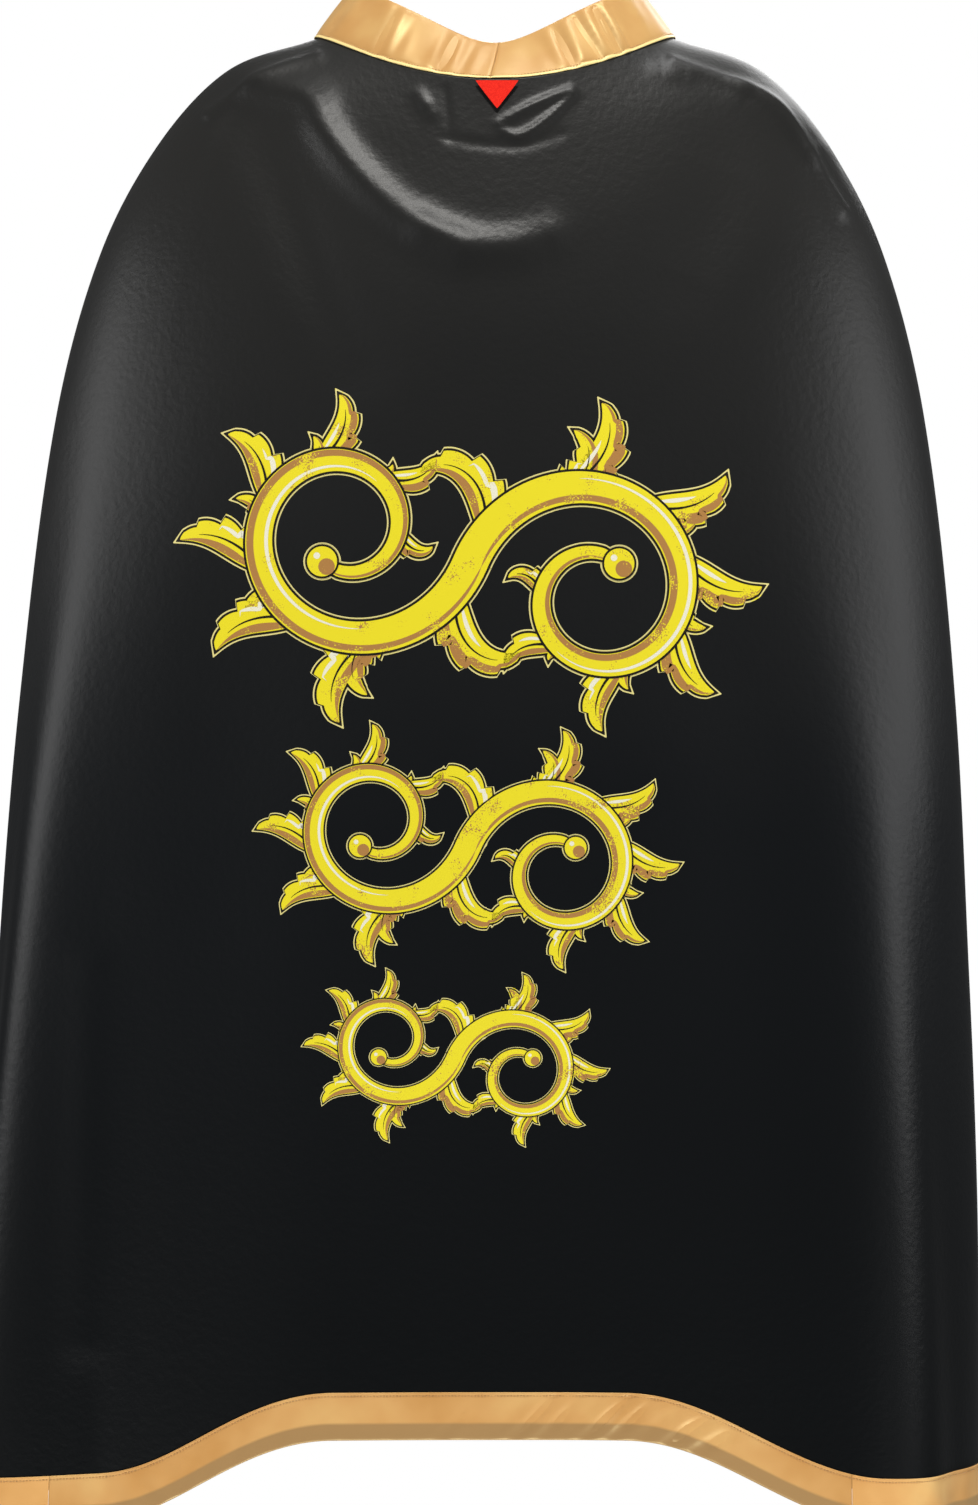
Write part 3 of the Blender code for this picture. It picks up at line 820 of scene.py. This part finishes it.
def rounded_strip(name, first, last, low, high, near, thickness, corner, material):
    """A flat strip on the collar with rounded corners, soft edges and a slightly raised middle."""
    t = (1 - np.cos(np.linspace(0, math.pi, 90))) / 2
    angle = (first + (last - first) * t)[:, None]
    metres = abs(last - first) * THROAT_DEGREE
    to_end = np.minimum(t, 1 - t)[:, None] * metres
    reach = np.clip(1 - to_end / corner, 0, 1)
    cut = corner * (1 - np.sqrt(np.clip(1 - reach**2, 0, 1))) * 0.98
    share = np.concatenate([np.linspace(0, 1, 13), np.linspace(1, 0, 13)])[None, :]
    outer = np.concatenate([np.ones(13), np.zeros(13)])[None, :]
    rise = low + cut + (high - low - 2 * cut) * share
    edge = np.minimum(np.minimum(share * (high - low), (1 - share) * (high - low)), to_end)
    full = 0.35 + 0.65 * np.sqrt(np.clip(edge / 0.0016, 0, 1))
    middle = near(angle) + thickness / 2
    offset = middle + (outer - 0.5) * thickness * full
    sections = collar_point(angle, rise, offset)[:, ::-1]
    uv = np.stack(np.broadcast_arrays(t[:, None] * metres, rise), -1)[:, ::-1]
    return swept(name, sections, material, uv)


def closure():
    """The tab at the throat with its hook patch, and the loop patch on the collar."""
    tip = TAB_ROOT + TAB_LENGTH / THROAT_DEGREE
    loop_near = COLLAR_FACE + TAPE_GAP
    hook_near = loop_near + PATCH_THICKNESS + TAPE_GAP
    tab_near = hook_near + PATCH_THICKNESS + TAPE_GAP

    def under_tab(angle):
        ramp_up = eased((angle - TAB_ROOT) / 7.0)
        return loop_near + (tab_near - loop_near) * ramp_up

    top = TAB_BASE + TAB_HEIGHT
    tab = rounded_strip("closure_tab_satin", TAB_ROOT + 0.3, tip, TAB_BASE, top, under_tab,
                        TAB_THICKNESS, TAB_CORNER, GOLD)
    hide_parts("closure_tab")
    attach(tab, "closure")
    pieces = [tab]
    along = np.linspace(TAB_ROOT + 1.6, tip - TAB_STITCH_INSET / THROAT_DEGREE, 60)
    up = np.linspace(TAB_BASE + TAB_STITCH_INSET, top - TAB_STITCH_INSET, 20)
    angles = np.concatenate([along, np.full(20, along[-1]), along[::-1]])
    rises = np.concatenate([np.full(60, up[0]), up, np.full(60, up[-1])])
    line, out = facing_collar(angles, rises, under_tab(angles) + TAB_THICKNESS)
    stitches = stitch_row("closure_tab_stitches", line, out, GOLD_THREAD)
    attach(stitches, "closure")
    pieces.append(stitches)
    low = TAB_BASE + (TAB_HEIGHT - PATCH_HEIGHT) / 2
    last = tip - 1.2
    for name, node_name, near, material, slot, body_name in (
        ("hook_tape", "hook_patch", hook_near, HOOKS, "hook_tape", "closure"),
        ("loop_tape", "loop_patch", loop_near, LOOPS, "loop_tape", "cape"),
    ):
        patch = rounded_strip(name, last - PATCH_LENGTH / THROAT_DEGREE, last, low,
                              low + PATCH_HEIGHT, lambda angle, near=near: near + 0 * angle,
                              PATCH_THICKNESS, PATCH_CORNER, material)
        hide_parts(node_name)
        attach(patch, body_name)
        pieces.append(patch)
    return pieces


TAG_ANGLE, TAG_THICKNESS = 0.6, 0.0007


def neck_tag():
    """The woven triangle: two layers, folded at the sides, held in the collar's seam."""
    down, share = np.linspace(0, 1, 40)[:, None], np.linspace(-1, 1, 25)[None, :]
    face = normal_of(drape, TAG_ANGLE, 0.02)
    hang = unit(drape(TAG_ANGLE, 0.025) - drape(TAG_ANGLE, 0.015))
    seam = drape(TAG_ANGLE, 0.001)
    start = seam + 0.0019 * normal_of(drape, TAG_ANGLE, 0.001) + 0.0010 * face
    half = 0.0155 * (1 - down**1.04) + 0.0004
    bow = 0.0003 * np.sin(math.pi * down) * (1 - share**2)
    points = (
        start + (half * share)[..., None] * np.array((1.0, 0.0, 0.0))
        + (0.0005 + 0.0215 * down + 0 * share)[..., None] * hang + bow[..., None] * face
    )
    out = np.broadcast_to(face, points.shape)
    uv = np.stack(np.broadcast_arrays(half * share, 0.022 * down), -1)
    tag = double_sheet("neck_tag_woven", points, out, TAG_THICKNESS, TAG, uv)
    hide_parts("neck_tag")
    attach(tag, "tag")
    return tag


# ---------------------------------------------------------------- prints

# Each print: name, middle (x, z) and width.
PRINTS = (
    ("print_large", (-0.018, -0.359), 0.438),
    ("print_middle", (-0.020, -0.567), 0.318),
    ("print_small", (-0.029, -0.722), 0.228),
)
MOTIF_SCALE = 0.87
STEM_START, STEM_TURN = math.radians(165), math.radians(470)
STEM_RADIUS, STEM_SHRINK = 0.50, 0.145
# Leaves: place along the stem, side, angle off it, length, half width, bend and lobes.
LEAVES = (
    (0.62, 1, 30, 0.25, 0.060, 90, 3), (0.50, 1, 28, 0.30, 0.072, 85, 4),
    (0.395, 1, 26, 0.34, 0.082, 80, 4), (0.30, 1, 24, 0.37, 0.090, 75, 5),
    (0.215, 1, 24, 0.38, 0.092, 80, 5), (0.13, 1, 26, 0.40, 0.092, 95, 5),
    (0.03, 1, 30, 0.46, 0.095, 140, 5), (0.10, -1, 16, 0.40, 0.080, -150, 5),
    (0.22, -1, 22, 0.27, 0.055, -120, 4), (0.33, -1, 22, 0.25, 0.052, -125, 4),
    (0.45, -1, 22, 0.21, 0.046, -130, 3), (0.58, -1, 24, 0.15, 0.034, -140, 2),
    (0.74, 1, 34, 0.17, 0.040, 110, 2),
)


def stem_line(count=150):
    turn = STEM_TURN * np.linspace(0, 1, count)
    spiral = np.stack([np.cos(STEM_START - turn), np.sin(STEM_START - turn)], 1)
    spiral = spiral * np.exp(-STEM_SHRINK * turn)[:, None]
    return STEM_RADIUS * (spiral - np.array([math.cos(STEM_START), math.sin(STEM_START)]))


def tangents(line):
    return unit(np.gradient(line, axis=0))


def curl(start, heading, length, bend, count=49):
    """A line that starts at a heading (degrees) and turns by bend degrees, faster to its tip."""
    turned = np.radians(heading + bend * np.linspace(0, 1, count) ** 1.6)
    steps = np.stack([np.cos(turned), np.sin(turned)], 1) * length / (count - 1)
    return start + np.vstack([[0, 0], np.cumsum(steps[:-1], axis=0)])


def leaf_widths(count, half, lobes, depth):
    """Half widths of a leaf that swells, narrows to a point and has notched lobes."""
    t = np.linspace(0, 1, count)
    swell = np.sin(np.pi * t**0.72) ** 0.8
    return half * swell * (1 - depth * (1 - (lobes * t) % 1.0) ** 1.3 * (t < 0.93)) + 0.0015


def stroke(line, left, right, grow=0.0):
    """Both edges of a stroke, grown by the same distance all round."""
    along = tangents(line)
    across = np.stack([-along[:, 1], along[:, 0]], 1)
    line = line.copy()
    line[0] -= along[0] * grow
    line[-1] += along[-1] * grow * 2
    grown = np.full(len(line), grow)
    grown[-1] = 0
    return line + across * (left + grown)[:, None], line - across * (right + grown)[:, None]


def painted(line, left, right, base, shade_side):
    """A stroke as the print builds it up: pale rim, dark outline, body, shade and highlight."""
    count = len(line)
    across = tangents(line)[:, ::-1] * np.array([-1.0, 1.0])
    shaded, lit = (left, right) if shade_side > 0 else (right, left)
    thin = 0.27 * shaded * np.sin(np.pi * np.linspace(0, 1, count)) ** 0.5 + 0.0005
    shade_line = line + shade_side * across * (0.66 * shaded)[:, None]
    first, last = int(0.14 * count), int(0.62 * count)
    glint = (line - shade_side * across * (0.55 * lit)[:, None])[first:last]
    swell = np.sin(np.pi * np.linspace(0, 1, last - first)) ** 0.7
    narrow = 0.14 * lit[first:last] * swell + 0.0003
    return [
        (0, "rim", stroke(line, left, right, 0.015)),
        (base + 1, "outline", stroke(line, left, right, 0.009)),
        (base + 2, "body", stroke(line, left, right)),
        (base + 3, "shade", stroke(shade_line, thin, thin)),
        (base + 4, "light", stroke(glint, narrow, narrow)),
    ]


def vein(line, half, base):
    first, last = int(0.08 * len(line)), int(0.8 * len(line))
    thin = half * (1 - np.linspace(0, 1, last - first)) ** 0.8 + 0.0006
    return (base + 4, "outline", stroke(line[first:last], thin, thin))


def berry(centre, radius, base, turned):
    parts = []
    for level, colour, size, right, up in (
        (0, "rim", radius + 0.015, 0.0, 0.0), (base + 1, "outline", radius + 0.008, 0.0, 0.0),
        (base + 2, "body", radius, 0.0, 0.0),
        (base + 3, "shade", radius * 0.55, 0.30, -0.35),
        (base + 4, "light", radius * 0.22, -0.35, 0.38),
    ):
        t = np.linspace(0, np.pi, 17)
        middle = centre + turned * radius * np.array([right, up])
        half = np.stack([-np.cos(t), np.sin(t)], 1) * size
        parts.append((level, colour, (middle + half, middle + half * np.array([1, -1]))))
    return parts


def half_motif(turned):
    """One half of a scroll; turned is -1 for the half that is turned over."""
    stem = stem_line()
    along = tangents(stem)
    parts = []
    for place, side, off, length, half, bend, lobes in LEAVES:
        i = int(place * (len(stem) - 1))
        heading = math.degrees(math.atan2(along[i][1], along[i][0])) + side * off
        line = curl(stem[i], heading, length, side * bend)
        outer = leaf_widths(len(line), half, lobes, 0.42)
        inner = leaf_widths(len(line), half * 0.62, 1, 0.05)
        left, right = (inner, outer) if side > 0 else (outer, inner)
        shade = -1 if tangents(line)[len(line) // 3][0] * turned > 0 else 1
        parts += painted(line, left, right, 0, shade)
        parts.append(vein(line, 0.006, 0))
    t = np.linspace(0, 1, len(stem))
    half = (0.020 + 0.048 * (1 - t)) * np.minimum(1, (1 - t) * 14 + 0.25)
    parts += painted(stem, half, half, 5, -turned)
    parts += berry(stem[-1], 0.058, 10, turned)
    return [(level, colour, (turned * a, turned * b)) for level, colour, (a, b) in parts]


def on_drape(x, z):
    """The angle and level where the back of the drape has these x and z."""
    angle, level = 150 * x, -z
    for _ in range(9):
        here = drape(angle, level)
        across = (drape(angle + ANGLE_STEP, level) - here) / ANGLE_STEP
        fall = (drape(angle, level + LEVEL_STEP) - here) / LEVEL_STEP
        right, up = x - here[..., 0], z - here[..., 2]
        scale = across[..., 0] * fall[..., 2] - fall[..., 0] * across[..., 2]
        angle = angle + (right * fall[..., 2] - fall[..., 0] * up) / scale
        level = level + (across[..., 0] * up - right * across[..., 2]) / scale
    return angle, level


# The print's height off the cloth, the height of one layer and the widest face of a stroke.
PRINT_LIFT, INK_STEP, PRINT_QUAD = 0.00040, 0.00004, 0.005


def printed_scroll(name, middle, width):
    """A scroll laid on the cloth: every stroke is a thin film, stacked in printing order."""
    size = width / 2 * MOTIF_SCALE
    points, faces, colours, start = [], [], [], 0
    order = list(INKS)
    for level, colour, (a, b) in half_motif(1) + half_motif(-1):
        widest = np.linalg.norm(a - b, axis=1).max() * size
        columns = 2 + int(widest / PRINT_QUAD)
        share = np.linspace(0, 1, columns)[None, :, None]
        flat = a[:, None] * (1 - share) + b[:, None] * share
        x, z = middle[0] + flat[..., 0] * size, middle[1] + flat[..., 1] * size
        points.append((x, z, np.full(x.shape, PRINT_LIFT + level * INK_STEP)))
        grid = quads(len(a), columns, start)[:, ::-1]
        faces.append(grid)
        colours += [order.index(colour)] * len(grid)
        start += x.size
    x, z, lift = (np.concatenate([p[k].ravel() for p in points]) for k in range(3))
    angle, level = on_drape(x, z)
    out = normal_of(cloth, angle, level)
    piece = build(name + "_scroll", cloth(angle, level) + lift[:, None] * out,
                  np.vstack(faces).tolist(), list(INKS.values()), normals=out,
                  face_material=colours)
    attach(piece, "cape")
    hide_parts(name)
    return piece


# ---------------------------------------------------------------- pieces

cloth_pieces = body()
edges = front_edges()
hems = hem()
collar_left, collar_right, collar_stitches = collar()
tab, tab_stitches, hook, loop = closure()
tag_piece = neck_tag()
scrolls = [printed_scroll(*row) for row in PRINTS]
stiffener = interlining()

# ---------------------------------------------------------------- stage, light and camera


def floor():
    made, tree, shader = new_material("floor")
    plug(tree, shader, {"Base Color": (0.86, 0.86, 0.86, 1.0), "Roughness": 0.8})
    bpy.ops.mesh.primitive_circle_add(
        vertices=96, radius=1.5, fill_type="NGON", location=(0, 0, -1.35)
    )
    disc = bpy.context.object
    disc.name = "floor"
    disc.data.materials.append(made)
    # it only shows: the lights reach the object as if it stood on nothing
    disc.visible_shadow = False
    disc.visible_diffuse = False
    disc.visible_glossy = False


def area_light(name, place, target, size, power, tint=(1.0, 1.0, 1.0)):
    light = bpy.data.lights.new(name, "AREA")
    light.shape = "RECTANGLE"
    light.size, light.size_y = size
    light.energy = power
    light.color = tint
    made = bpy.data.objects.new(name, light)
    bpy.context.scene.collection.objects.link(made)
    aim = np.array(target, float) - np.array(place, float)
    made.rotation_euler = Vector(aim).to_track_quat("-Z", "Y").to_euler()
    made.location = place
    made.visible_camera = False


def backdrop():
    """White behind the object, with only a dim even light from all round."""
    world = bpy.data.worlds.new("studio")
    bpy.context.scene.world = world
    world.use_nodes = True
    tree = world.node_tree
    tree.nodes.clear()
    seen = node(tree, "ShaderNodeBackground", {"Color": (1.0, 1.0, 1.0, 1.0), "Strength": 1.0})
    lit = node(tree, "ShaderNodeBackground", {"Color": (0.92, 0.96, 1.0, 1.0), "Strength": 0.05})
    camera_ray = node(tree, "ShaderNodeLightPath").outputs["Is Camera Ray"]
    mixed = node(tree, "ShaderNodeMixShader", {
        0: camera_ray, 1: lit.outputs[0], 2: seen.outputs[0],
    })
    node(tree, "ShaderNodeOutputWorld", {"Surface": mixed.outputs[0]})


def camera():
    """From straight behind, framed as the photo is."""
    away, seen_height = 3.2, 1.154
    data = bpy.data.cameras.new("camera")
    data.sensor_fit = "VERTICAL"
    data.sensor_height = 24.0
    data.lens = data.sensor_height * away / seen_height
    made = bpy.data.objects.new("camera", data)
    made.location = (-0.0045, -away, -0.498)
    made.rotation_euler = (math.pi / 2, 0, 0)
    bpy.context.scene.collection.objects.link(made)
    bpy.context.scene.camera = made


floor()
backdrop()
area_light("key", (0.1, -1.6, 2.4), (0, 0, -0.35), (0.7, 0.5), 82.0, (1.0, 0.98, 0.94))
area_light("low", (0.2, -1.5, -2.9), (0, 0, -0.75), (1.2, 0.8), 60.0)
area_light("top", (0.4, 0.0, 1.9), (0.1, 0, -0.1), (1.0, 0.6), 16.0)
area_light("left", (-2.5, -0.6, 0.1), (0, 0, -0.45), (1.4, 1.6), 34.0)
area_light("right", (2.5, -0.6, 0.1), (0, 0, -0.45), (1.4, 1.6), 31.0)
area_light("behind", (0.5, 2.5, 1.3), (0.1, 0, -0.2), (2.0, 1.2), 42.0)
camera()
bpy.context.scene.view_settings.view_transform = "Standard"
